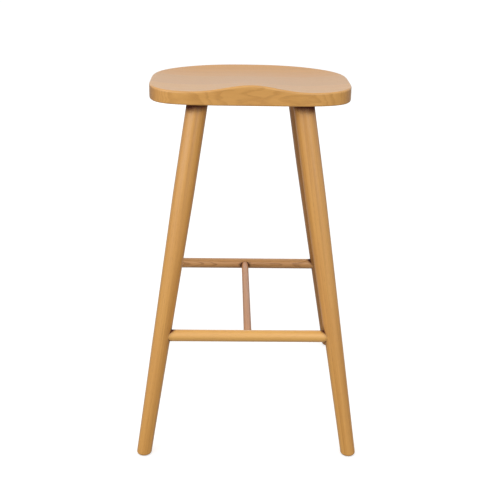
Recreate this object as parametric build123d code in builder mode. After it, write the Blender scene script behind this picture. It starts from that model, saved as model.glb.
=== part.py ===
"""Saddle-seat bar stool with a footrest, in solid oak.

Millimetres, +Z up. The origin is on the floor, at the middle of the four feet. The sitter
faces -Y, so the footrest is on the -Y side.
"""

from build123d import *
from math import cos, exp, pi, sin
import os

# Seat
seat_height = 750.0  # floor to the top of the pommel
seat_width = 404.0
seat_depth = 278.0
front_squareness = 4.8  # exponent of the front half of the outline: 2 is an ellipse
back_squareness = 2.65
pommel_thickness = 41.0
back_rim_thickness = 33.0
side_rim_thickness = 29.0
thigh_rim_thickness = 25.0
hollow_thickness = 21.0  # at the bottom of the two scoops
pommel_spread = 72.0
pommel_fade = 2.2  # how fast the pommel's ridge sinks towards the back
side_rise = 4.0  # exponents of the carved rims: higher keeps the hollow flat for longer
back_rise = 2.5
thigh_rise = 3.0
top_edge_radius = 3.5
bottom_edge_radius = 3.0
outline_steps = 48
carving_steps = 16
carving_margin = 12.0
carving_tolerance = 0.1
carving_least_degree = 3
carving_most_degree = 8

# Seat boards and the loose tongues in their glued edges
tongue_thickness = 5.0
tongue_width = 18.0
tongue_length = 290.0
tongue_height = 9.0  # underside of the seat to the middle of the tongue

# Legs: a straight upper shaft, then a long slow taper
leg_top_diameter = 42.0
leg_foot_diameter = 30.0
leg_straight_length = 190.0
taper_blend_radius = 4000.0  # between the straight shaft and the taper
front_leg_top_spread = 208.0  # between leg axes, at the underside of the seat
front_leg_foot_spread = 426.0  # between leg axes, on the floor
rear_leg_top_spread = 202.0
rear_leg_foot_spread = 443.0
leg_top_depth = 190.0
leg_foot_depth = 500.0
foot_edge_radius = 5.0

# Leg tenons, each opened by a hidden wedge
leg_tenon_diameter = 26.0
leg_tenon_length = 15.0
leg_tenon_chamfer = 1.0
wedge_length = 11.0
wedge_thick_end = 3.0
wedge_thin_end = 1.4

# Stretchers
stretcher_height = 247.0  # floor to the axis of all three bars
footrest_diameter = 24.0
footrest_tenon_diameter = 14.0
footrest_shoulder = 10.0  # from the leg's axis to the shoulder inside the leg
footrest_tenon_reach = 8.0  # past the leg's axis
tenon_end_chamfer = 1.0
centre_bar_diameter = 16.0
centre_tenon_diameter = 10.0
centre_shoulder = 7.0  # from the long bar's axis to the shoulder inside it
centre_tenon_reach = 4.0  # past the long bar's axis

# Brads that lock the stretcher tenons, driven from the hidden side
brad_diameter = 1.6
leg_brad_sink = 1.0  # head below the leg's surface
leg_brad_point = 3.0  # past the tenon's axis
centre_brad_sink = 1.0
centre_brad_point = 2.0

# Floor glides, let into the feet and nailed
glide_diameter = 17.0
glide_thickness = 4.0
glide_proud = 1.0
glide_edge_radius = 0.8
nail_diameter = 2.0
nail_length = 18.0
nail_head_diameter = 6.0
nail_head_thickness = 1.0
nail_head_sink = 1.2  # bottom of the glide to the bottom of the head
nail_point_length = 2.5
nail_point_diameter = 0.4

# Clearances
glue_gap = 0.05  # all round each glued tenon, tongue and wedge
socket_bottom_gap = 0.5
pin_gap = 0.02

seat_underside = seat_height - pommel_thickness
seat_floor = Plane.XY.offset(seat_underside)
half_width = seat_width / 2
half_depth = seat_depth / 2
os.makedirs("parts", exist_ok=True)


def finish(builder, name):
    """Names a finished sub-part and writes it."""
    builder.part.label = name
    export_step(builder.part, f"parts/{name}.step")


def outline_point(angle):
    """A point of the seat's plan outline, rounder at the back than at the front."""
    across, along = cos(angle), sin(angle)
    power = back_squareness if along > 0 else front_squareness
    reach = abs(across / half_width) ** power + abs(along / half_depth) ** power
    radius = reach ** (-1 / power)
    return (radius * across, radius * along)


def carved_thickness(x, y):
    """Seat thickness: a hollow, raised to the rims, with a ridge that ends in the pommel."""
    side, back, front = abs(x) / half_width, max(y, 0) / half_depth, max(-y, 0) / half_depth
    rims = (
        (side_rim_thickness - hollow_thickness) * side**side_rise
        + (back_rim_thickness - hollow_thickness) * back**back_rise
        + (thigh_rim_thickness - hollow_thickness) * front**thigh_rise
    )
    to_front = max(0, (1 - y / half_depth) / 2)  # 0 at the back of the seat, 1 at the front
    ridge = exp(-((x / pommel_spread) ** 2)) * to_front**pommel_fade
    return hollow_thickness + rims + (pommel_thickness - thigh_rim_thickness) * ridge


def carved_point(i, j):
    """A grid point of the carved surface, which runs a little past the outline."""
    x = (2 * i / carving_steps - 1) * (half_width + carving_margin)
    y = (2 * j / carving_steps - 1) * (half_depth + carving_margin)
    return Vector(x, y, seat_underside + carved_thickness(x, y))


# ---------------------------------------------------------------- where things are
class Leg:
    """One leg's place: its axis, and where its stretcher meets it."""

    def __init__(self, end, side, top_spread, foot_spread):
        self.name = f"{'front' if end < 0 else 'rear'}_{'left' if side < 0 else 'right'}"
        self.end, self.side = end, side
        top = Vector(side * top_spread / 2, end * leg_top_depth / 2, seat_underside)
        foot = Vector(side * foot_spread / 2, end * leg_foot_depth / 2, 0)
        self.up = (top - foot).normalized()
        self.level = self.up.cross(Vector(0, 0, 1)).normalized()
        self.top, self.foot = top, foot
        self.joint = foot + (top - foot) * (stretcher_height / seat_underside)
        self.length = (top - foot).length
        # Across the leg at the seat's underside, with Z up the leg
        self.plane = Plane(origin=top, x_dir=self.level, z_dir=self.up)
        # Through the leg's axis, with Y up the leg
        self.profile_plane = Plane(origin=top, x_dir=self.level, z_dir=self.level.cross(self.up))


legs = [
    Leg(end, side, *spreads)
    for end, spreads in (
        (-1, (front_leg_top_spread, front_leg_foot_spread)),
        (1, (rear_leg_top_spread, rear_leg_foot_spread)),
    )
    for side in (-1, 1)
]
front_legs, rear_legs = legs[:2], legs[2:]
bar_depth = abs(legs[0].joint.Y)  # from the middle of the stool to both long bars
board_depth = seat_depth / 3
seams = (-board_depth / 2, board_depth / 2)


def leg_radius_at(height):
    """Radius of a leg's taper, which is straight but for its start, at a height."""
    below = max(0, seat_underside - leg_straight_length - height)
    share = below / (seat_underside - leg_straight_length)
    return (leg_top_diameter - share * (leg_top_diameter - leg_foot_diameter)) / 2


def round_hole(radius, start, direction, length):
    """Bores into the part being built, from a point and along a direction."""
    with BuildSketch(Plane(origin=start, z_dir=direction)) as bore:
        Circle(radius)
    extrude(bore.sketch, amount=length, mode=Mode.SUBTRACT)


class Brad:
    """A brad's place: its head, the way it points, and its length."""

    def __init__(self, head, way, length):
        self.head, self.way, self.length = head, way, length

    def bore(self):
        """Cuts the brad's hole, from clear outside, into the part being built."""
        outside = self.head - self.way * self.length
        round_hole(brad_diameter / 2 + pin_gap, outside, self.way, 2 * self.length + pin_gap)


def leg_brad(leg):
    """The brad through a leg and its stretcher's tenon, from the side that faces the stool's middle."""
    depth = leg_radius_at(stretcher_height) - leg_brad_sink
    return Brad(leg.joint - Vector(0, leg.end * depth, 0), Vector(0, leg.end, 0), depth + leg_brad_point)


def centre_brad(end):
    """The brad through a long bar and the centre bar's tenon, from below."""
    depth = footrest_diameter / 2 - centre_brad_sink
    head = Vector(0, end * bar_depth, stretcher_height - depth)
    return Brad(head, Vector(0, 0, 1), depth + centre_brad_point)


# ---------------------------------------------------------------- seat
carving = Face.make_surface_from_array_of_points(
    [[carved_point(i, j) for j in range(carving_steps + 1)] for i in range(carving_steps + 1)],
    tol=carving_tolerance,
    min_deg=carving_least_degree,
    max_deg=carving_most_degree,
)

with BuildPart() as seat_blank:
    with BuildSketch(seat_floor):
        with BuildLine():
            steps = range(outline_steps)
            Spline(*[outline_point(2 * pi * step / outline_steps) for step in steps], periodic=True)
        make_face()
    extrude(amount=pommel_thickness)
    extrude(carving, amount=2 * pommel_thickness, dir=(0, 0, 1), mode=Mode.SUBTRACT)
    fillet(seat_blank.faces().sort_by(Axis.Z)[-1].edges(), top_edge_radius)
    fillet(seat_blank.faces().sort_by(Axis.Z)[0].edges(), bottom_edge_radius)


def cut_grooves(seam):
    """Cuts the stopped groove for a tongue, centred on a seam."""
    with BuildSketch(seat_floor.offset(tongue_height - tongue_thickness / 2 - glue_gap)) as groove:
        with Locations((0, seam)):
            SlotOverall(tongue_length + 2 * glue_gap, tongue_width + 2 * glue_gap)
    extrude(groove.sketch, amount=tongue_thickness + 2 * glue_gap, mode=Mode.SUBTRACT)


def cut_leg_socket(leg):
    """Bores the blind socket for a leg's tenon, with room below its end."""
    start = leg.top - leg.up * leg_tenon_diameter
    depth = leg_tenon_diameter + leg_tenon_length + socket_bottom_gap
    round_hole(leg_tenon_diameter / 2 + glue_gap, start, leg.up, depth)


front_seam = Plane.XZ.offset(-seams[0])
rear_seam = Plane.XZ.offset(-seams[1])

with BuildPart() as seat_board_front:
    add(seat_blank.part)
    split(bisect_by=front_seam, keep=Keep.TOP)
    cut_grooves(seams[0])
    for leg in front_legs:
        cut_leg_socket(leg)

with BuildPart() as seat_board_middle:
    add(seat_blank.part)
    split(bisect_by=front_seam, keep=Keep.BOTTOM)
    split(bisect_by=rear_seam, keep=Keep.TOP)
    cut_grooves(seams[0])
    cut_grooves(seams[1])

with BuildPart() as seat_board_rear:
    add(seat_blank.part)
    split(bisect_by=rear_seam, keep=Keep.BOTTOM)
    cut_grooves(seams[1])
    for leg in rear_legs:
        cut_leg_socket(leg)

finish(seat_board_front, "seat_board_front")
finish(seat_board_middle, "seat_board_middle")
finish(seat_board_rear, "seat_board_rear")

for seam, place in zip(seams, ("front", "rear")):
    with BuildPart() as seat_tongue:
        with BuildSketch(seat_floor.offset(tongue_height - tongue_thickness / 2)):
            with Locations((0, seam)):
                SlotOverall(tongue_length, tongue_width)
        extrude(amount=tongue_thickness)
    finish(seat_tongue, f"seat_tongue_{place}")


# ---------------------------------------------------------------- legs
def wedge_corners(gap):
    """Corners of a wedge's long side, on a plane with X across it and Y up the leg."""
    thick, thin, low = wedge_thick_end / 2 + gap, wedge_thin_end / 2 + gap, -wedge_length - gap
    return (-thin, low), (thin, low), (thick, 0), (-thick, 0)


def wedge_plane(leg):
    """Plane at the tenon's end, with Y up the leg, that the wedge is drawn on."""
    end = leg.top + leg.up * leg_tenon_length
    return Plane(origin=end, x_dir=leg.level, z_dir=leg.level.cross(leg.up))


for leg in legs:
    foot_plane = Plane.XY.offset(glide_proud)
    with BuildPart() as leg_part:
        with BuildSketch(leg.profile_plane):
            with BuildLine():
                top_radius, foot_radius = leg_top_diameter / 2, leg_foot_diameter / 2
                spare = leg_top_diameter
                slope = (top_radius - foot_radius) / (leg.length - leg_straight_length)
                low = Vector(foot_radius - slope * spare, -leg.length - spare)
                shoulder = Vector(top_radius, -leg_straight_length)
                FilletPolyline((top_radius, spare), shoulder, low, radius=taper_blend_radius)
                Polyline(low, (0, low.Y), (0, spare), (top_radius, spare))
            make_face()
        revolve(axis=Axis(leg.top, leg.up))
        split(bisect_by=seat_floor, keep=Keep.BOTTOM)
        split(bisect_by=foot_plane, keep=Keep.TOP)
        fillet(leg_part.faces().sort_by(Axis.Z)[0].edges(), foot_edge_radius)

        with BuildSketch(leg.plane.offset(-leg_tenon_diameter)):
            Circle(leg_tenon_diameter / 2)
        extrude(amount=leg_tenon_diameter + leg_tenon_length)
        tenon_end = leg_part.faces().sort_by(Axis(leg.top, leg.up))[-1]
        chamfer(tenon_end.edges(), leg_tenon_chamfer)
        with BuildSketch(wedge_plane(leg)):
            Polygon(*wedge_corners(glue_gap), align=None)
        extrude(amount=leg_tenon_diameter, both=True, mode=Mode.SUBTRACT)

        inwards = Vector(-leg.side, 0, 0)
        shoulder_at = leg.joint + inwards * (footrest_shoulder - glue_gap)
        round_hole(footrest_diameter / 2 + glue_gap, shoulder_at, inwards, leg_top_diameter)
        tip = leg.joint - inwards * (footrest_tenon_reach + socket_bottom_gap)
        round_hole(footrest_tenon_diameter / 2 + glue_gap, tip, inwards, leg_top_diameter)
        leg_brad(leg).bore()

        with BuildSketch(foot_plane):
            with Locations((leg.foot.X, leg.foot.Y)):
                Circle(glide_diameter / 2 + glue_gap)
        extrude(amount=glide_thickness - glide_proud, mode=Mode.SUBTRACT)
        with BuildSketch(foot_plane):
            with Locations((leg.foot.X, leg.foot.Y)):
                Circle(nail_diameter / 2 + pin_gap)
        extrude(amount=nail_length + nail_head_sink, mode=Mode.SUBTRACT)
    finish(leg_part, f"leg_{leg.name}")

    with BuildPart() as leg_wedge:
        with BuildSketch(wedge_plane(leg)):
            Polygon(*wedge_corners(0), align=None)
        extrude(amount=leg_tenon_diameter, both=True)
        with BuildSketch(leg.plane):
            Circle(leg_tenon_diameter / 2 - leg_tenon_chamfer)
        extrude(amount=leg_tenon_length, mode=Mode.INTERSECT)
    finish(leg_wedge, f"leg_wedge_{leg.name}")


# ---------------------------------------------------------------- stretchers
for (left, right), name in ((front_legs, "footrest_bar"), (rear_legs, "rear_stretcher")):
    bar_half = right.joint.X - footrest_shoulder
    tenon_half = right.joint.X + footrest_tenon_reach
    middle = Vector(0, left.joint.Y, stretcher_height)
    inwards = Vector(0, -left.end, 0)
    with BuildPart() as long_bar:
        with BuildSketch(Plane(origin=middle, z_dir=(1, 0, 0))):
            Circle(footrest_tenon_diameter / 2)
        extrude(amount=tenon_half, both=True)
        chamfer(long_bar.edges().filter_by(GeomType.CIRCLE), tenon_end_chamfer)
        with BuildSketch(Plane(origin=middle, z_dir=(1, 0, 0))):
            Circle(footrest_diameter / 2)
        extrude(amount=bar_half, both=True)
        shoulder_at = middle + inwards * (centre_shoulder - glue_gap)
        round_hole(centre_bar_diameter / 2 + glue_gap, shoulder_at, inwards, footrest_diameter)
        tip = middle - inwards * (centre_tenon_reach + socket_bottom_gap)
        round_hole(centre_tenon_diameter / 2 + glue_gap, tip, inwards, footrest_diameter)
        centre_brad(left.end).bore()
        leg_brad(left).bore()
        leg_brad(right).bore()
    finish(long_bar, name)

with BuildPart() as centre_stretcher:
    centre = Plane(origin=(0, 0, stretcher_height), z_dir=(0, 1, 0))
    with BuildSketch(centre):
        Circle(centre_tenon_diameter / 2)
    extrude(amount=bar_depth + centre_tenon_reach, both=True)
    chamfer(centre_stretcher.edges().filter_by(GeomType.CIRCLE), tenon_end_chamfer)
    with BuildSketch(centre):
        Circle(centre_bar_diameter / 2)
    extrude(amount=bar_depth - centre_shoulder, both=True)
    centre_brad(-1).bore()
    centre_brad(1).bore()
finish(centre_stretcher, "centre_stretcher")

# ---------------------------------------------------------------- brads
brad_sets = {
    "leg_joint_brads": [leg_brad(leg) for leg in legs],
    "centre_joint_brads": [centre_brad(-1), centre_brad(1)],
}
for name, brads in brad_sets.items():
    with BuildPart() as brad_set:
        for brad in brads:
            with BuildSketch(Plane(origin=brad.head, z_dir=brad.way)):
                Circle(brad_diameter / 2)
            extrude(amount=brad.length)
    finish(brad_set, name)

# ---------------------------------------------------------------- floor glides
for leg in legs:
    under_foot = Vector(leg.foot.X, leg.foot.Y, 0)
    with BuildPart() as foot_glide:
        with BuildSketch(Plane(origin=under_foot)):
            Circle(glide_diameter / 2)
        extrude(amount=glide_thickness)
        fillet(foot_glide.edges().sort_by(Axis.Z)[0], glide_edge_radius)
        head_room = nail_head_sink + nail_head_thickness
        round_hole(nail_head_diameter / 2 + pin_gap, under_foot, Vector(0, 0, 1), head_room)
        round_hole(nail_diameter / 2 + pin_gap, under_foot, Vector(0, 0, 1), glide_thickness)
    finish(foot_glide, f"foot_glide_{leg.name}")

with BuildPart() as glide_nails:
    for leg in legs:
        head_at = Vector(leg.foot.X, leg.foot.Y, nail_head_sink)
        with BuildSketch(Plane(origin=head_at)):
            Circle(nail_head_diameter / 2)
        extrude(amount=nail_head_thickness)
        with BuildSketch(Plane(origin=head_at)):
            Circle(nail_diameter / 2)
        extrude(amount=nail_length - nail_point_length)
        point_at = head_at + Vector(0, 0, nail_length - nail_point_length)
        with BuildSketch(Plane(origin=point_at)):
            Circle(nail_diameter / 2)
        with BuildSketch(Plane(origin=point_at + Vector(0, 0, nail_point_length))):
            Circle(nail_point_diameter / 2)
        loft()
finish(glide_nails, "glide_nails")
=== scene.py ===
# %% [markdown]
# # An oak bar stool in Blender
# The stool is already designed: every board, leg and bar comes from the CAD model, at its real
# size, in metres. Carved and turned wood is hard and exact, so no shape is changed here, and this
# lesson gives the pieces their looks. They need three things, in this order: a camera, a studio,
# and finishes that hold up close.

# %% Load the CAD pieces
import math

import bpy
from mathutils import Matrix, Vector


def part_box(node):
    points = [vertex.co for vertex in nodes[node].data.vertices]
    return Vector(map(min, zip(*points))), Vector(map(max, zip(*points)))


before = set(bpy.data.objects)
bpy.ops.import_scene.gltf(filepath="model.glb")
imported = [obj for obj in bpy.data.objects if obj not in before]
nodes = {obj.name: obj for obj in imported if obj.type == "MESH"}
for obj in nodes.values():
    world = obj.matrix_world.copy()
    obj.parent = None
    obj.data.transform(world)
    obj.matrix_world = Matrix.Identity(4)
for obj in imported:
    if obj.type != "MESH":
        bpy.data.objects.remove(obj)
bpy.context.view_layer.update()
print("CAD pieces:", len(nodes))

# %% [markdown]
# ## Camera
# A catalogue view of a tall stool is taken from the front with a fairly long lens, from a little
# above the seat, so the saddle's hollow shows but the legs stay almost upright. The camera stands
# a touch to the left, and is turned and rolled by a degree or so, as a hand-set tripod is. A Track
# To constraint would aim it, but couldn't roll it, so its angles are given one by one.

# %% Camera
CAMERA_PLACE = (-0.0431, -1.8502, 1.0850)  # metres
CAMERA_DOWN = 0.37396  # radians below level
CAMERA_TURN = -0.02689
CAMERA_ROLL = 0.01864
CAMERA_LENS = 64.98  # mm, on a 36 mm sensor

camera_data = bpy.data.cameras.new("camera")
camera_data.lens = CAMERA_LENS
camera = bpy.data.objects.new("camera", camera_data)
bpy.context.scene.collection.objects.link(camera)
camera.location = CAMERA_PLACE
aim = Matrix.Rotation(CAMERA_TURN, 4, "Z") @ Matrix.Rotation(math.pi / 2 - CAMERA_DOWN, 4, "X")
camera.rotation_euler = (aim @ Matrix.Rotation(CAMERA_ROLL, 4, "Z")).to_euler()
bpy.context.scene.camera = camera
print("camera looks down by", round(math.degrees(CAMERA_DOWN), 1), "degrees")

# %% [markdown]
# ## A short way to write nodes
# The floor, the room and every finish are graphs of nodes. Written out in full, a node takes a
# line to add it and another for each input, and the graph is lost among them. With these helpers
# it takes one: a feed that is another node's socket is linked, and a number or a colour is typed
# in.

# %% Node helpers
def wire(tree, node, feeds):
    for socket, feed in feeds.items():
        if isinstance(feed, bpy.types.NodeSocket):
            tree.links.new(feed, node.inputs[socket])
        else:
            node.inputs[socket].default_value = feed


def add_node(tree, kind, feeds=None, **settings):
    node = tree.nodes.new("ShaderNode" + kind)
    for name, value in settings.items():
        setattr(node, name, value)
    wire(tree, node, feeds or {})
    return node


def new_material(name):
    material = bpy.data.materials.new(name)
    material.use_nodes = True
    return material, material.node_tree, material.node_tree.nodes["Principled BSDF"]


print("helpers:", ", ".join(helper.__name__ for helper in (wire, add_node, new_material)))

# %% [markdown]
# ## Floor
# In a studio the stool stands on a white sweep, a sheet that curves up into the wall, so that no
# edge shows behind it. Seen from above, one very large plane does the same. Its white has two
# parts: the light that falls on it, where the feet still cast a faint shadow, and a glow of its
# own that no shadow darkens. The undersides of the seat and bars should stay deep, so the stool
# gets less light from the floor than the camera does. Light Path tells the two apart.

# %% Floor
FLOOR_SIZE = 60.0  # metres
FLOOR_SEEN = 0.6  # how much of the light on it the camera sees, shadows included
FLOOR_GLOW = 0.6  # the rest of its white
FLOOR_BOUNCE = 0.34  # how much of the light on it reaches the stool
FLOOR_ROUGHNESS = 0.9


def grey(level):
    return (level, level, level, 1)


def camera_switch(tree, felt, seen):
    """One shader for what the camera sees, another for the light that reaches the stool."""
    is_camera = add_node(tree, "LightPath").outputs["Is Camera Ray"]
    feeds = {0: is_camera, 1: felt.outputs[0], 2: seen.outputs[0]}
    return add_node(tree, "MixShader", feeds).outputs[0]


bpy.ops.object.select_all(action="DESELECT")
bpy.ops.mesh.primitive_plane_add(size=FLOOR_SIZE)
floor = bpy.context.object
floor.name = "floor"
floor_paint, floor_tree, floor_seen = new_material("floor_paint")
wire(floor_tree, floor_seen, {
    "Base Color": grey(FLOOR_SEEN), "Roughness": FLOOR_ROUGHNESS, "Specular IOR Level": 0.0,
    "Emission Color": grey(1.0), "Emission Strength": FLOOR_GLOW,
})
floor_felt = add_node(floor_tree, "BsdfDiffuse", {"Color": grey(FLOOR_BOUNCE)})
floor_look = camera_switch(floor_tree, floor_felt, floor_seen)
wire(floor_tree, floor_tree.nodes["Material Output"], {"Surface": floor_look})
floor.data.materials.append(floor_paint)
print("floor:", FLOOR_SIZE, "m across")

# %% [markdown]
# ## Lights
# A turned leg reads as round when it carries a broad pale band with darker edges. A bare lamp
# would draw a thin hard line there instead, so the stool is lit by softboxes, which in Blender are
# area lights of the same size: a large one on the left, a narrower one on the right, close to the
# camera, and a low strip behind for the far side of the legs.

# %% Lights
LIGHT_AIM = Vector((0, 0, 0.6))  # just under the seat
LIGHTS = (  # name, place, width, height, watts
    ("softbox_left", (-1.75, -1.50, 1.85), 2.6, 2.1, 24.5),
    ("softbox_right", (0.95, -2.12, 1.75), 1.3, 2.1, 9.0),
    ("fill_back", (0.3, 3.2, 0.36), 2.6, 0.7, 4.0),
)
for name, place, width, height, watts in LIGHTS:
    light_data = bpy.data.lights.new(name, "AREA")
    light_data.shape = "RECTANGLE"
    light_data.size, light_data.size_y = width, height
    light_data.energy = watts
    light = bpy.data.objects.new(name, light_data)
    bpy.context.scene.collection.objects.link(light)
    light.location = place
    light.rotation_euler = (Vector(place) - LIGHT_AIM).to_track_quat("Z", "Y").to_euler()
    print(name, watts, "W,", width, "x", height, "m")

# %% [markdown]
# ## Room
# White walls fill the shadows evenly from all round. Four real walls would hide the stool from
# some sides, so the world's own colour takes their place. Past the floor's far edge the camera
# sees plain white, which leaves no horizon.

# %% Room
ROOM_STRENGTH = 0.74

room = bpy.data.worlds.new("room")
bpy.context.scene.world = room
room.use_nodes = True
room_tree = room.node_tree
room_felt = room_tree.nodes["Background"]
wire(room_tree, room_felt, {"Color": grey(1.0), "Strength": ROOM_STRENGTH})
room_seen = add_node(room_tree, "Background", {"Color": grey(1.0)})
room_look = camera_switch(room_tree, room_felt, room_seen)
wire(room_tree, room_tree.nodes["World Output"], {"Surface": room_look})
bpy.context.scene.view_settings.view_transform = "Standard"
print("room strength:", ROOM_STRENGTH)

# %% [markdown]
# ## Sums and blends
# A finish is worked out from a place: how far along the grain it is, how far from the trunk's
# middle, which way it faces. That takes many small sums, and each kind gets a name here, so that
# the wood further down reads as steps and not as wiring.

# %% Sums and blends
def sums(tree, operation, *values, clamp=False):
    feeds = dict(enumerate(values))
    return add_node(tree, "Math", feeds, operation=operation, use_clamp=clamp).outputs[0]


def vector_sums(tree, operation, *values):
    node = add_node(tree, "VectorMath", dict(enumerate(values)), operation=operation)
    return node.outputs["Value" if operation in ("LENGTH", "DOT_PRODUCT") else "Vector"]


def swing(tree, value, amount, middle=0.5):
    """How far a value is from its middle, times an amount."""
    return sums(tree, "MULTIPLY", sums(tree, "SUBTRACT", value, middle), amount)


def step_between(tree, value, low, high, start=0.0, end=1.0):
    feeds = {"Value": value, "From Min": low, "From Max": high, "To Min": start, "To Max": end}
    return add_node(tree, "MapRange", feeds, interpolation_type="SMOOTHSTEP").outputs["Result"]


def blend_colours(tree, amount, first, second, how="MIX"):
    feeds = {0: amount, 6: first, 7: second}  # the Mix node's factor, and its two colours
    return add_node(tree, "Mix", feeds, data_type="RGBA", blend_type=how).outputs[2]


def stretched_noise(tree, place, stretch, detail):
    scaled = vector_sums(tree, "MULTIPLY", place, stretch)
    return add_node(tree, "TexNoise", {"Vector": scaled, "Scale": 1.0, "Detail": detail}).outputs


helpers = (sums, vector_sums, swing, step_between, blend_colours, stretched_noise)
print("helpers:", ", ".join(helper.__name__ for helper in helpers))

# %% [markdown]
# ## Solid oak
# Oak isn't a print stuck on a face. Its growth rings are long tubes round the middle of the trunk,
# and a board shows whatever slice of them it was cut from: arches on one face, straight lines on
# the next, arcs on its end. An image wrapped round each piece would break at every edge, so the
# finish is made in three dimensions, and all the faces of a piece agree. It is a node group, built
# once, because sixteen pieces share it and each gives it other values.
# Place is measured in the trunk: x runs along the grain, z out from the middle, y sideways.

# %% The oak group's sockets
def new_group(name, inputs, outputs):
    """A node group. Each socket has a kind and, if it needs one, a value to start with."""
    group = bpy.data.node_groups.new(name, "ShaderNodeTree")
    for in_out, sockets in (("INPUT", inputs), ("OUTPUT", outputs)):
        for title, (kind, value) in sockets.items():
            kind = "NodeSocket" + kind
            socket = group.interface.new_socket(name=title, in_out=in_out, socket_type=kind)
            if value is not None:
                socket.default_value = value
    return group, group.nodes.new("NodeGroupInput").outputs, group.nodes.new("NodeGroupOutput")


OAK_INPUTS = {
    "Place": ("Vector", None),
    "Seed": ("Float", 0.0),
    "Ring Width": ("Float", 0.003),
    "Wander": ("Float", 0.004),
    "Bow": ("Float", 0.3),
    "Figure": ("Float", 0.5),
    "Streaks": ("Float", 0.9),
    "Pores": ("Float", 0.5),
    "Rays": ("Float", 0.3),
    "End Grain": ("Float", 0.0),
    "Wood": ("Color", (0.61, 0.305, 0.084, 1)),
}
OAK_OUTPUTS = {"Colour": ("Color", None), "Roughness": ("Float", None), "Height": ("Float", None)}

oak_group, given, result = new_group("solid_oak", OAK_INPUTS, OAK_OUTPUTS)
print("oak group sockets:", len(OAK_INPUTS), "in,", len(OAK_OUTPUTS), "out")

# %% [markdown]
# ## Growth rings
# A ring is a true circle only in a perfect tree, so the place first strays a little, by a slow
# noise. Its distance from the trunk's middle, divided by the width of a ring, then counts the
# years. Good years make wide rings and dry ones narrow rings, which a second noise along that
# count gives. Bow adds a curve along the trunk, and draws the pointed arches on a flat-sawn face.
# What is left after the whole years is the season: a year starts with a band of porous spring wood
# and ends in dense summer wood. The next year's pores open just before it ends.

# %% Rings
STRAY = (6.0, 22.0, 22.0)  # cycles of noise per metre
STRAY_DETAIL = 3.0
YEARS_NOISE = 0.37  # cycles per ring
YEARS_DETAIL = 1.0
YEARS_UNEVEN = 1.6  # rings
SPRING_FADES = (0.08, 0.5)  # parts of a year
SPRING_OPENS = (0.9, 1.0)
HALF = (0.5, 0.5, 0.5)  # noise runs from 0 to 1, so this centres it

seeded = vector_sums(oak_group, "ADD", given["Place"], given["Seed"])
stray = stretched_noise(oak_group, seeded, STRAY, STRAY_DETAIL)["Color"]
stray = vector_sums(oak_group, "SUBTRACT", stray, HALF)
stray = vector_sums(oak_group, "MULTIPLY", stray, given["Wander"])
strayed = vector_sums(oak_group, "ADD", given["Place"], stray)
across = vector_sums(oak_group, "MULTIPLY", strayed, (0, 1, 1))  # x, along the grain, drops out
radius = vector_sums(oak_group, "LENGTH", across)
along = add_node(oak_group, "SeparateXYZ", {0: given["Place"]}).outputs["X"]
bend = sums(oak_group, "MULTIPLY", sums(oak_group, "MULTIPLY", along, along), given["Bow"])
year = sums(oak_group, "DIVIDE", sums(oak_group, "ADD", radius, bend), given["Ring Width"])
feeds = {"W": year, "Scale": YEARS_NOISE, "Detail": YEARS_DETAIL}
good_years = add_node(oak_group, "TexNoise", feeds, noise_dimensions="1D").outputs["Fac"]
year = sums(oak_group, "ADD", year, sums(oak_group, "MULTIPLY", good_years, YEARS_UNEVEN))
season = sums(oak_group, "FRACT", year)
spring = sums(oak_group, "SUBTRACT", 1.0, step_between(oak_group, season, *SPRING_FADES))
spring = sums(oak_group, "MAXIMUM", spring, step_between(oak_group, season, *SPRING_OPENS))
print("ring nodes:", len(oak_group.nodes))

# %% [markdown]
# ## Fibres, pores and rays
# Between the rings, oak has fine fibres, broad streaks and slow changes of colour, short dark
# pores, and pale rays: thin ribbons that run out from the trunk's middle and flash as flecks where
# a cut meets them flat. All are noise, stretched as the wood's own cells are: far along the grain
# and hardly sideways. Rays alone are deep outwards too. Only the peaks of a noise make a pore or a
# ray, and most pores lie in spring wood.

# %% Fibres, pores and rays
CELLS = {  # cycles per metre along the grain, sideways and outwards, then the noise's detail
    "fibre": ((14.0, 620.0, 620.0), 3.0),
    "streak": ((2.2, 105.0, 105.0), 2.0),
    "blotch": ((5.0, 16.0, 16.0), 1.0),
    "pore": ((95.0, 2300.0, 2300.0), 1.0),
    "ray": ((62.0, 1300.0, 48.0), 0.0),
}
PORE_PEAKS = (0.56, 0.68)
SUMMER_PORES = 0.2  # of those in spring
RAY_PEAKS = (0.66, 0.74)

cells = {name: stretched_noise(oak_group, seeded, *shape)["Fac"] for name, shape in CELLS.items()}
pore = step_between(oak_group, cells["pore"], *PORE_PEAKS)
pore = sums(oak_group, "MULTIPLY", pore, given["Pores"])
porous = sums(oak_group, "MULTIPLY_ADD", spring, 1 - SUMMER_PORES, SUMMER_PORES)
pore = sums(oak_group, "MULTIPLY", pore, porous)
ray = sums(oak_group, "MULTIPLY", step_between(oak_group, cells["ray"], *RAY_PEAKS), given["Rays"])
print("cells:", ", ".join(cells))

# %% [markdown]
# ## The wood's colours
# A board's colours are close relatives, so all of them are tints of one colour, which each board
# brings along. Rings, streaks and fibres add up to a tone that goes from pale to tan, and whatever
# goes past tan turns deep. Slow blotches and rays are flushed, and pores are deep. End grain is
# darker, because its open cells drink the finish.

# %% Colours of the wood
TINTS = {
    "pale": (1.12, 1.14, 1.25, 1),
    "tan": (0.9, 0.84, 0.72, 1),
    "deep": (0.5, 0.38, 0.28, 1),
    "flush": (1.02, 0.97, 1.12, 1),
}
TONE_MIDDLE = 0.45
FIBRE_TONE = 0.5
PAST_TAN_DEEP = 0.55
BLOTCH_PEAKS = (0.4, 0.7)
BLOTCH_FLUSH = 0.4
PORE_DEEP = 0.7
END_GRAIN_DEEP = 0.45

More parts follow.
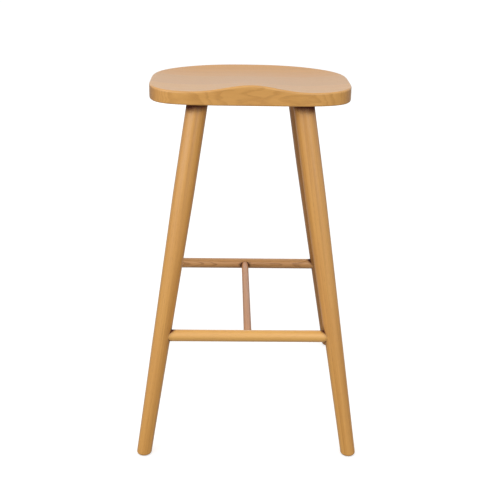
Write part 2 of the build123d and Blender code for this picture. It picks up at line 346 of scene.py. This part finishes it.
tone = swing(oak_group, spring, given["Figure"], TONE_MIDDLE)
tone = sums(oak_group, "ADD", tone, swing(oak_group, cells["streak"], given["Streaks"]))
tone = sums(oak_group, "ADD", tone, swing(oak_group, cells["fibre"], FIBRE_TONE))
tone = sums(oak_group, "ADD", tone, TONE_MIDDLE)
past_tan = sums(oak_group, "SUBTRACT", tone, 1.0, clamp=True)
tone = sums(oak_group, "ADD", tone, 0.0, clamp=True)

tinted = {
    name: blend_colours(oak_group, 1.0, given["Wood"], tint, "MULTIPLY")
    for name, tint in TINTS.items()
}
flushed = step_between(oak_group, cells["blotch"], *BLOTCH_PEAKS, 0.0, BLOTCH_FLUSH)
wood = blend_colours(oak_group, tone, tinted["pale"], tinted["tan"])
for amount, tint in (
    (sums(oak_group, "MULTIPLY", past_tan, PAST_TAN_DEEP), "deep"),
    (flushed, "flush"),
    (ray, "flush"),
    (sums(oak_group, "MULTIPLY", pore, PORE_DEEP, clamp=True), "deep"),
    (sums(oak_group, "MULTIPLY", given["End Grain"], END_GRAIN_DEEP), "deep"),
):
    wood = blend_colours(oak_group, amount, wood, tinted[tint])
print("tints:", ", ".join(tinted))

# %% [markdown]
# ## The wood's surface
# Sanding and lacquer level the wood but don't close it. Pores stay open and dull, end grain is
# dull all over, rays are hard and polish up, and fibres stand a little proud of soft spring wood.
# Real depth would need millions of faces for marks thinner than a hair, so a height goes to a Bump
# node instead.

# %% Surface of the wood
SANDED_ROUGHNESS = 0.42
PORE_ROUGHER = 0.2
FIBRE_ROUGHER = 0.16
END_GRAIN_ROUGHER = 0.12
RAY_SMOOTHER = 0.25
FIBRE_HEIGHT = 0.35  # heights are shares of a pore's depth
SPRING_SUNK = 0.2

roughness = sums(oak_group, "MULTIPLY_ADD", pore, PORE_ROUGHER, SANDED_ROUGHNESS)
roughness = sums(oak_group, "ADD", roughness, swing(oak_group, cells["fibre"], FIBRE_ROUGHER))
roughness = sums(oak_group, "MULTIPLY_ADD", given["End Grain"], END_GRAIN_ROUGHER, roughness)
roughness = sums(oak_group, "MULTIPLY_ADD", ray, -RAY_SMOOTHER, roughness)
height = sums(oak_group, "MULTIPLY", pore, -1.0)
height = sums(oak_group, "MULTIPLY_ADD", cells["fibre"], FIBRE_HEIGHT, height)
height = sums(oak_group, "MULTIPLY_ADD", spring, -SPRING_SUNK, height)
wire(oak_group, result, {"Colour": wood, "Roughness": roughness, "Height": height})
print("oak group nodes:", len(oak_group.nodes))

# %% [markdown]
# ## Edges: rubbed, and a painted highlight; corners: painted shade
# Hands and trousers rub an edge, so it is a little smoother and paler, and the paler edge also
# stands in as a painted highlight where a rounded edge catches the light. In a corner, where a leg
# enters the seat or a bar enters a leg, shade is painted into the colour: it is darker and has lost
# its gloss. Painting both by hand would have to be done again whenever the design changes, so they
# are found from the shape: the Bevel node says where the surface turns, and Ambient Occlusion says
# where two surfaces meet. This is a second group, because it works on any wood below it.

# %% The group for edges and corners
EDGE_CORNER_INPUTS = {
    "Edge Width": ("Float", 0.004),  # metres
    # how much the edges are paled: partly rubbed finish, partly a painted highlight
    "Edge Rub And Highlight": ("Float", 0.3),
    # Corner Reach, Deepest and Shaded set the painted shade in corners
    "Corner Reach": ("Float", 0.01),  # metres
    "Deepest": ("Float", 0.78),  # the open share of the view at which a corner is fully dark
    "Shaded": ("Float", 1.0),
    "Colour": ("Color", None),
    "Roughness": ("Float", None),
}
EDGE_CORNER_OUTPUTS = {"Colour": ("Color", None), "Roughness": ("Float", None), "Coat": ("Float", None)}
edge_corner_group, given, result = new_group("rubbed_edges_and_painted_shade", EDGE_CORNER_INPUTS, EDGE_CORNER_OUTPUTS)
print("wear group sockets:", len(EDGE_CORNER_INPUTS), "in,", len(EDGE_CORNER_OUTPUTS), "out")

# %% [markdown]
# The rounded normal and the flat one agree on a face and part at an edge, so their dot product
# finds the edge. Both effects then tint the colour they are given: edges turn paler, partly
# rubbed finish and partly a painted highlight, and corners take a painted shade. A clear coat of
# lacquer lies over all but the corners, so no reflection lightens the painted shade.

# %% Edges and corners
EDGE_TURN = (0.995, 0.9)  # dot product where the rubbing starts, and where it is full
EDGE_SAMPLES = 6
CORNER_STARTS = 0.94  # open share of the view
CORNER_SAMPLES = 8
# a paler, bluer edge: partly rubbed finish, partly a painted highlight on the rounded edge
RUB_AND_HIGHLIGHT_TINT = (1.22, 1.28, 1.5, 1)
# painted shade: the near-black red-brown that corners are darkened to
SHADE_TINT = (0.12, 0.035, 0.015, 1)
RUBBED_SMOOTHER = 0.2
CORNER_ROUGHER = 0.45
COAT = 0.8

feeds = {"Radius": given["Edge Width"]}
turned = add_node(edge_corner_group, "Bevel", feeds, samples=EDGE_SAMPLES).outputs[0]
flat = add_node(edge_corner_group, "NewGeometry").outputs["Normal"]
edge = step_between(edge_corner_group, vector_sums(edge_corner_group, "DOT_PRODUCT", turned, flat), *EDGE_TURN)
edge = sums(edge_corner_group, "MULTIPLY", edge, given["Edge Rub And Highlight"])
feeds = {"Distance": given["Corner Reach"]}
open_share = add_node(edge_corner_group, "AmbientOcclusion", feeds, samples=CORNER_SAMPLES).outputs["AO"]
# painted shade in corners, found by Ambient Occlusion
corner = step_between(edge_corner_group, open_share, CORNER_STARTS, given["Deepest"])
corner = sums(edge_corner_group, "MULTIPLY", corner, given["Shaded"])

worn_with_painted_light = blend_colours(edge_corner_group, edge, given["Colour"], RUB_AND_HIGHLIGHT_TINT, "MULTIPLY")
worn_with_painted_light = blend_colours(edge_corner_group, corner, worn_with_painted_light, SHADE_TINT, "MULTIPLY")
roughness = sums(edge_corner_group, "MULTIPLY_ADD", edge, -RUBBED_SMOOTHER, given["Roughness"])
roughness = sums(edge_corner_group, "MULTIPLY_ADD", corner, CORNER_ROUGHER, roughness)
# the coat is taken off in corners, so no reflection lightens the painted shade
coat = sums(edge_corner_group, "MULTIPLY_ADD", corner, -COAT, COAT, clamp=True)
wire(edge_corner_group, result, {"Colour": worn_with_painted_light, "Roughness": roughness, "Coat": coat})
print("wear group nodes:", len(edge_corner_group.nodes))

# %% [markdown]
# ## One piece of oak at a time
# Every piece was sawn from its own place in a trunk, so each has its own material round the same
# group. What differs is the direction of the grain, which side of the piece faced out, how far it
# lay from the trunk's middle, and its colour. A Mapping node puts the group's axes there: TEXTURE
# mode takes them as the place and turn of the trunk itself.

# %% The trunk's axes
def grain_frame(grain, radial):
    """Turns x to the grain and z as near as possible to the way out from the trunk's middle."""
    x = Vector(grain).normalized()
    y = Vector(radial).cross(x).normalized()
    return Matrix((x, y, x.cross(y))).transposed().to_euler()


print("a board cut flat is turned by", tuple(grain_frame((1, 0, 0), (0, 0, 1))))

# %% [markdown]
# End grain shows where a face looks along the grain, so the object's own normal finds it. The
# painted corner shade fades out at the feet: there, Ambient Occlusion would take the floor for the
# other side of a corner. Wood that nobody sees stays bare: no rubbed edges, painted shade or lacquer.

# %% Oak for a piece
END_GRAIN_TURN = (0.55, 0.95)  # dot product of the face and the grain
FOOT_TOP = 0.03  # metres above the floor
SHADE_BACK = 0.07
BUMP = {"Strength": 0.5, "Distance": 0.0002}  # metres
WOOD_IOR = 1.5
COAT_ROUGHNESS = 0.28


def lacquer(tree, shader, oak, up, edge_and_shade_values):
    """Pales the oak's edges, partly rubbing and partly a painted highlight, paints shade into its
    corners, and puts the coat on.
    """
    feeds = {"Colour": oak["Colour"], "Roughness": oak["Roughness"]}
    feeds["Shaded"] = step_between(tree, up, FOOT_TOP, SHADE_BACK)
    rubbed_and_shaded = add_node(tree, "Group", feeds, node_tree=edge_corner_group)
    wire(tree, rubbed_and_shaded, edge_and_shade_values)
    rubbed_and_shaded = rubbed_and_shaded.outputs
    wire(tree, shader, {"Base Color": rubbed_and_shaded["Colour"], "Roughness": rubbed_and_shaded["Roughness"]})
    wire(tree, shader, {"Coat Weight": rubbed_and_shaded["Coat"], "Coat Roughness": COAT_ROUGHNESS})


def oak_finish(name, middle, grain, radial, from_pith, seed, values, edge_and_shade_values=None):
    """A material for one piece. Without edge and corner values the wood is bare: no rubbed edges,
    painted shade or lacquer.
    """
    finish, tree, shader = new_material(name)
    turn = grain_frame(grain, radial)
    out = turn.to_matrix() @ Vector((0, 0, 1))
    coordinates = add_node(tree, "TexCoord").outputs
    feeds = {"Vector": coordinates["Object"], "Rotation": turn}
    feeds["Location"] = Vector(middle) - out * from_pith
    place = add_node(tree, "Mapping", feeds, vector_type="TEXTURE").outputs[0]
    facing = vector_sums(tree, "DOT_PRODUCT", coordinates["Normal"], Vector(grain).normalized())
    end_grain = step_between(tree, sums(tree, "ABSOLUTE", facing), *END_GRAIN_TURN)
    feeds = {"Place": place, "Seed": seed, "End Grain": end_grain, **values}
    oak = add_node(tree, "Group", feeds, node_tree=oak_group).outputs
    bump = add_node(tree, "Bump", {"Height": oak["Height"], **BUMP})
    wire(tree, shader, {"Normal": bump.outputs[0], "IOR": WOOD_IOR})
    if edge_and_shade_values is None:
        wire(tree, shader, {"Base Color": oak["Colour"], "Roughness": oak["Roughness"]})
    else:
        up = add_node(tree, "SeparateXYZ", {0: coordinates["Object"]}).outputs["Z"]
        lacquer(tree, shader, oak, up, edge_and_shade_values)
    return finish


dressed = set()


def dress(node, finish):
    nodes[node].data.materials[0] = finish
    dressed.add(node)


print("a bump is", BUMP["Distance"] * 1000, "mm deep")

# %% [markdown]
# ## Seat boards
# The seat is glued up from three boards that run from side to side. The front one was cut with the
# trunk's middle behind it, so its rings stand parallel to the front edge, and that edge cuts long
# arches through them. Its trunk lies a little to the right, which puts the arches off centre, as
# they mostly are. Each board leans by about a degree, because no board is sawn quite true.

# %% Seat boards
SEAT = {"Ring Width": 0.0033, "Wander": 0.014, "Figure": 0.55, "Pores": 0.5}
SEAT_BOARDS = (  # place, trunk's shift, grain, way out, metres from the trunk's middle, seed, values
    ("front", (0.045, 0, 0.004), (1, 0.015, 0), (0, -1, 0.12), 0.085, 24.2,
     {"Bow": 0.45, "Wood": (0.715, 0.36, 0.08, 1), **SEAT}),
    ("middle", (0, 0, 0), (1, -0.02, 0), (0, 0.7, 0.7), 0.16, 7.7,
     {"Bow": 0.1, "Wood": (0.65, 0.33, 0.088, 1), **SEAT}),
    ("rear", (0, 0, 0), (1, 0.02, 0), (0, 1, -0.1), 0.12, 12.4,
     {"Bow": 0.35, "Wood": (0.66, 0.31, 0.056, 1), **SEAT}),
)


def middle_of(node):
    low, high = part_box(node)
    return (low + high) / 2


for place, shift, grain, radial, from_pith, seed, values in SEAT_BOARDS:
    board = "seat_board_" + place
    middle = middle_of(board) + Vector(shift)
    dress(board, oak_finish("oak_seat_" + place, middle, grain, radial, from_pith, seed, values, {}))
    print(board, "middle", [round(value, 3) for value in middle])

# %% [markdown]
# ## Legs
# A leg splays two ways, so its grain can't follow x, y or z. It follows the line between the
# middles of its own two ends, which are found from its mesh. The rings are fine and nearly
# straight, as in wood picked for legs, and strong streaks run from top to foot. The rear legs'
# colour is darker, the right one most, and their corner shade reaches further down: both are
# painted shade for the shadow that the seat throws on them.

# %% Legs
END_SHARE = 0.08  # of the length
LEG = {"Streaks": 3.4, "Wander": 0.006}
FRONT_LEG = {"Bow": 0.02, "Figure": 0.3, **LEG}
REAR_LEG = {"Bow": 0.03, "Figure": 0.35, "Ring Width": 0.003, **LEG}
LEG_DEEPEST = 0.62
LEGS = (  # node, way out, metres from the trunk's middle, seed, corner reach, values
    ("leg_front_left", (1, 0.2, 0), 0.06, 30.59, 0.026,
     {"Wood": (0.675, 0.328, 0.062, 1), "Ring Width": 0.0028, **FRONT_LEG}),
    ("leg_front_right", (-1, 0.4, 0), 0.05, 30.78, 0.026,
     {"Wood": (0.69, 0.338, 0.07, 1), "Ring Width": 0.0026, **FRONT_LEG}),
    # rear legs: colour darkened as painted shade for the seat's shadow, the right one most
    ("leg_rear_left", (0.3, 1, 0), 0.07, 31.9, 0.04, {"Wood": (0.53, 0.245, 0.046, 1), **REAR_LEG}),
    ("leg_rear_right", (-0.6, 1, 0), 0.06, 37.5, 0.04, {"Wood": (0.45, 0.198, 0.035, 1), **REAR_LEG}),
)


def ends_of(node):
    """The middles of a long piece's two ends."""
    low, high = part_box(node)
    side = max(range(3), key=lambda i: high[i] - low[i])
    cut = (high[side] - low[side]) * END_SHARE
    points = [vertex.co for vertex in nodes[node].data.vertices]
    first = [point for point in points if point[side] < low[side] + cut]
    last = [point for point in points if point[side] > high[side] - cut]
    return [
        Vector([(min(p[i] for p in end) + max(p[i] for p in end)) / 2 for i in range(3)])
        for end in (first, last)
    ]


def dress_stick(node, radial, from_pith, seed, values, edge_and_shade_values):
    first, last = ends_of(node)
    grain = last - first
    middle = (first + last) / 2
    finish = oak_finish("oak_" + node, middle, grain, radial, from_pith, seed, values, edge_and_shade_values)
    dress(node, finish)
    print(node, "grain", [round(value, 3) for value in grain.normalized()])


# corner reach sets how far down the painted shade goes; the rear legs' longer reach paints the seat's
# shadow
for node, radial, from_pith, seed, reach, values in LEGS:
    edge_and_shade_values = {"Corner Reach": reach, "Deepest": LEG_DEEPEST}
    dress_stick(node, radial, from_pith, seed, values, edge_and_shade_values)

# %% [markdown]
# ## Bars
# Three bars tie the legs together. The one that feet rest on is the palest and plainest. The rear
# bar came from near the trunk's middle, where rings curve tightly, so it is plainly figured and
# its pores show. The thin centre bar joins the two.

# %% Bars
BARS = (  # node, way out, metres from the trunk's middle, seed, values
    ("footrest_bar", (0, 0.6, 1), 0.06, 50.05,
     {"Ring Width": 0.0026, "Wander": 0.005, "Bow": 0.03, "Figure": 0.25,
      "Wood": (0.845, 0.458, 0.115, 1)}),
    ("rear_stretcher", (0, -1, 0.25), 0.035, 56.91,
     {"Ring Width": 0.0028, "Wander": 0.02, "Bow": 0.3, "Figure": 2.4, "Streaks": 2.0, "Pores": 1.0,
      "Wood": (0.563, 0.28, 0.083, 1)}),
    ("centre_stretcher", (0.5, 0, 1), 0.06, 61.1,
     {"Ring Width": 0.0025, "Wander": 0.005, "Bow": 0.03, "Figure": 0.3,
      "Wood": (0.6, 0.27, 0.095, 1)}),
)
for node, radial, from_pith, seed, values in BARS:
    dress_stick(node, radial, from_pith, seed, values, {})

# %% [markdown]
# ## Tongues and wedges
# Nobody sees these pieces: loose tongues line up the seat's boards, and a wedge spreads each leg's
# tenon. They are cut from beech, which has fine rings, few pores and many short rays, so the oak
# group serves with other values. Beech inside a joint is bare: it has no lacquer and no wear. A
# tongue's grain runs along the seam, and a wedge's runs upright, the way it is driven.

# %% Tongues and wedges
BEECH = {"Ring Width": 0.0018, "Wander": 0.003, "Bow": 0.05, "Figure": 0.35, "Streaks": 0.6,
         "Pores": 0.1, "Rays": 0.8, "Wood": (0.62, 0.4, 0.22, 1)}
BEECH_FROM_PITH = 0.09  # metres
BEECH_SEED = 70.0  # of the first piece; the next ones count up
BEECH_CUTS = {  # grain, and the way out from the trunk's middle
    "seat_tongue": ((1, 0, 0), (0, 0, 1)),
    "leg_wedge": ((0, 0, 1), (0, 1, 0)),
}

beech_nodes = [name for name in sorted(nodes) if name.startswith(tuple(BEECH_CUTS))]
for number, node in enumerate(beech_nodes):
    grain, radial = next(cut for kind, cut in BEECH_CUTS.items() if node.startswith(kind))
    seed = BEECH_SEED + number
    middle = middle_of(node)
    dress(node, oak_finish("beech_" + node, middle, grain, radial, BEECH_FROM_PITH, seed, BEECH))
    print("beech:", node)

# %% [markdown]
# ## Nylon glides
# A glide is a moulded disc under each foot. Nylon is milky and slightly yellow, with a fine spark
# texture from its mould, and its sole is scratched and grey from the floor. The sole is the part
# of the surface that faces down, so the object's own normal picks it out, and one material serves
# the whole disc.

# %% Nylon's marks
CLOUDS = 160.0  # cycles of noise per metre
SPARKS = 5200.0
SCRATCHES = {"Rotation": (0, 0, 0.6), "Scale": (180, 2600, 900)}  # long one way, fine the others
SCRATCH_PEAKS = (0.52, 0.66)
SOLE_TURN = (0.6, 0.95)
NYLON_DETAIL = 2.0

nylon, nylon_tree, nylon_shader = new_material("moulded_nylon")
nylon_coordinates = add_node(nylon_tree, "TexCoord").outputs


def nylon_noise(place, scale):
    feeds = {"Vector": place, "Scale": scale, "Detail": NYLON_DETAIL}
    return add_node(nylon_tree, "TexNoise", feeds).outputs["Fac"]


cloud = nylon_noise(nylon_coordinates["Object"], CLOUDS)
spark = nylon_noise(nylon_coordinates["Object"], SPARKS)
scratch_place = add_node(nylon_tree, "Mapping", {"Vector": nylon_coordinates["Object"], **SCRATCHES})
scratch = nylon_noise(scratch_place.outputs[0], 1.0)
down = vector_sums(nylon_tree, "DOT_PRODUCT", nylon_coordinates["Normal"], (0, 0, -1))
sole = step_between(nylon_tree, down, *SOLE_TURN)
scuff = sums(nylon_tree, "MULTIPLY", step_between(nylon_tree, scratch, *SCRATCH_PEAKS), sole)
print("nylon marks:", len(nylon_tree.nodes), "nodes")

# %% [markdown]
# The marks now set the colour, the gloss and the height: clouds change the milky white, the sole
# is trodden grey, and a scuff is darker, duller and cut in.

# %% Nylon
MILKY = (0.7, 0.66, 0.56, 1)
CLOUDED = (0.6, 0.55, 0.45, 1)
TRODDEN = (0.3, 0.28, 0.25, 1)
SCUFFED = (0.2, 0.18, 0.16, 1)
SOLE_TRODDEN = 0.3
NYLON_ROUGHNESS = 0.4
SPARK_ROUGHER = 0.12
SCUFF_ROUGHER = 0.25
SCUFF_DEPTH = 1.5  # against a spark's height
NYLON_BUMP = {"Strength": 0.4, "Distance": 0.00006}  # metres

nylon_colour = blend_colours(nylon_tree, cloud, MILKY, CLOUDED)
trodden = sums(nylon_tree, "MULTIPLY", sole, SOLE_TRODDEN)
nylon_colour = blend_colours(nylon_tree, trodden, nylon_colour, TRODDEN)
nylon_colour = blend_colours(nylon_tree, scuff, nylon_colour, SCUFFED)
nylon_roughness = sums(nylon_tree, "MULTIPLY_ADD", spark, SPARK_ROUGHER, NYLON_ROUGHNESS)
nylon_roughness = sums(nylon_tree, "MULTIPLY_ADD", scuff, SCUFF_ROUGHER, nylon_roughness)
nylon_height = sums(nylon_tree, "MULTIPLY_ADD", scuff, -SCUFF_DEPTH, spark)
nylon_bump = add_node(nylon_tree, "Bump", {"Height": nylon_height, **NYLON_BUMP})
wire(nylon_tree, nylon_shader, {"Base Color": nylon_colour, "Roughness": nylon_roughness})
wire(nylon_tree, nylon_shader, {"Normal": nylon_bump.outputs[0]})
glides = [name for name in nodes if name.startswith("foot_glide")]
for node in glides:
    dress(node, nylon)
print("nylon:", ", ".join(glides))

# %% [markdown]
# ## Steel nails and brads
# The nails that hold the glides and the brads that lock the bars are drawn wire, which carries
# faint lines from the die and tarnishes in patches. The lines run upright, as the glide nails do.
# The brads lie at other angles, but only the end of a brad shows, so one finish serves all three.

# %% Steel
DIE_LINES = (4200, 4200, 160)  # cycles per metre: fine round the wire, long up it
LINES_DETAIL = 2.0
TARNISH_NOISE = 420.0
TARNISH_DETAIL = 3.0
TARNISH_PEAKS = (0.45, 0.7)
BRIGHT = (0.62, 0.62, 0.63, 1)
TARNISHED = (0.4, 0.37, 0.34, 1)
STEEL_ROUGHNESS = 0.2
LINES_ROUGHER = 0.18
TARNISH_ROUGHER = 0.2
STEEL_BUMP = {"Strength": 0.3, "Distance": 0.00002}  # metres

steel, steel_tree, steel_shader = new_material("drawn_steel")
steel_place = add_node(steel_tree, "TexCoord").outputs["Object"]
drawn = add_node(steel_tree, "Mapping", {"Vector": steel_place, "Scale": DIE_LINES}).outputs[0]
feeds = {"Vector": drawn, "Scale": 1.0, "Detail": LINES_DETAIL}
lines = add_node(steel_tree, "TexNoise", feeds).outputs["Fac"]
feeds = {"Vector": steel_place, "Scale": TARNISH_NOISE, "Detail": TARNISH_DETAIL}
tarnish = add_node(steel_tree, "TexNoise", feeds).outputs["Fac"]
tarnish = step_between(steel_tree, tarnish, *TARNISH_PEAKS)
steel_roughness = sums(steel_tree, "MULTIPLY_ADD", lines, LINES_ROUGHER, STEEL_ROUGHNESS)
steel_roughness = sums(steel_tree, "MULTIPLY_ADD", tarnish, TARNISH_ROUGHER, steel_roughness)
steel_bump = add_node(steel_tree, "Bump", {"Height": lines, **STEEL_BUMP})
wire(steel_tree, steel_shader, {
    "Base Color": blend_colours(steel_tree, tarnish, BRIGHT, TARNISHED), "Metallic": 1.0,
    "Roughness": steel_roughness, "Normal": steel_bump.outputs[0],
})
for node in ("glide_nails", "leg_joint_brads", "centre_joint_brads"):
    dress(node, steel)
print("steel nodes:", len(steel_tree.nodes))

# %% [markdown]
# ## Check and finish
# A forgotten piece would keep the plain look that it was loaded with, so the list of pieces
# without a finish has to come out empty.

# %% Last checks
print("pieces without a finish of their own:", sorted(set(nodes) - dressed))
